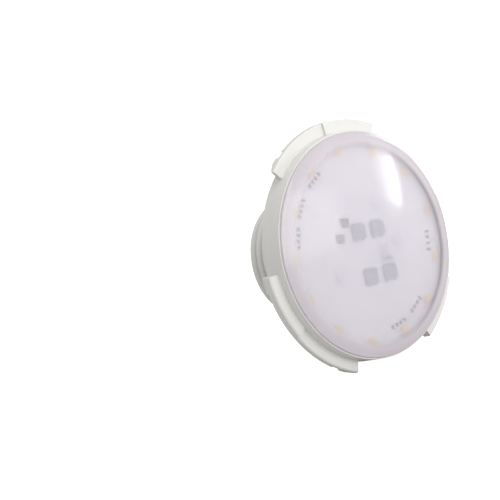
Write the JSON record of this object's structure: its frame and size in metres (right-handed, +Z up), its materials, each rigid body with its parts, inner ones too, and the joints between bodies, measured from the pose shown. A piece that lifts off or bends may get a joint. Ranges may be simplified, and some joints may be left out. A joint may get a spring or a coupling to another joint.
{
  "type": "underwater pool light",
  "caption": "Round surface-mounted underwater pool light: milky domed lens, rim with bayonet ears, threaded rear collar with a cable gland inside.",
  "frame": {"origin": "on the light's axis, in the plane of the rim's front edge, where the lens flange seats and a face ring locates", "axes": "+Y along the light's axis from the lens towards the threaded collar, +Z up, +X to the right as seen from in front"},
  "size_m": [0.102, 0.0525, 0.0992],
  "materials": {
    "housing_plastic": "moulded ABS, warm light grey white, fine satin",
    "lens_plastic": "milky polycarbonate, faint lilac, glossy",
    "seal_rubber": "smooth moulded rubber",
    "board_white": "white solder mask on aluminium core",
    "led_package": "white package with yellow phosphor",
    "resistor_black": "black glazed resistor",
    "power_package": "blue grey epoxy package",
    "chip_black": "black epoxy package",
    "can_aluminium": "drawn aluminium can",
    "screw_steel": "stainless steel",
    "pad_silicone": "filled silicone sheet",
    "spreader_aluminium": "rolled aluminium sheet",
    "terminal_plastic": "natural nylon",
    "contact_brass": "plain brass",
    "resin_black": "black potting resin",
    "gland_plastic": "light grey nylon",
    "washer_plastic": "low friction acetal",
    "label_film": "blank white vinyl film"
  },
  "bodies": {
    "light": {"rear_housing": "housing_plastic", "collar_socket": "housing_plastic", "threaded_collar": "housing_plastic", "collar_seal": "seal_rubber", "lens_dome": "lens_plastic", "lens_seal": "seal_rubber", "led_board": "board_white", "ring_leds": "led_package", "resistor_banks": "resistor_black", "power_rectifiers": "power_package", "driver_chips": "chip_black", "smoothing_capacitor": "can_aluminium", "board_screws": "screw_steel", "thermal_pad": "pad_silicone", "heat_spreader": "spreader_aluminium", "supply_terminal": "terminal_plastic", "terminal_contacts": "contact_brass", "potting_resin": "resin_black", "gland_body": "gland_plastic", "gland_gasket": "seal_rubber", "gland_locknut": "gland_plastic", "gland_grommet": "seal_rubber", "back_label": "label_film"},
    "nut_carriage": {"gland_washer": "washer_plastic"},
    "nut": {"gland_nut": "gland_plastic"}
  },
  "joints": [
    {"name": "nut_travel", "type": "slide", "parent": "light", "child": "nut_carriage", "axis": [0, 1, 0], "range_m": [0, 0.003]},
    {"name": "nut_turn", "type": "hinge", "parent": "nut_carriage", "child": "nut", "pos_m": [0, 0.0207, 0], "axis": [0, 1, 0], "range_deg": [0, 720]}
  ],
  "couplings": [
    {"joint": "nut_turn", "follows": "nut_travel", "rad_per_m": 4188.8}
  ]
}
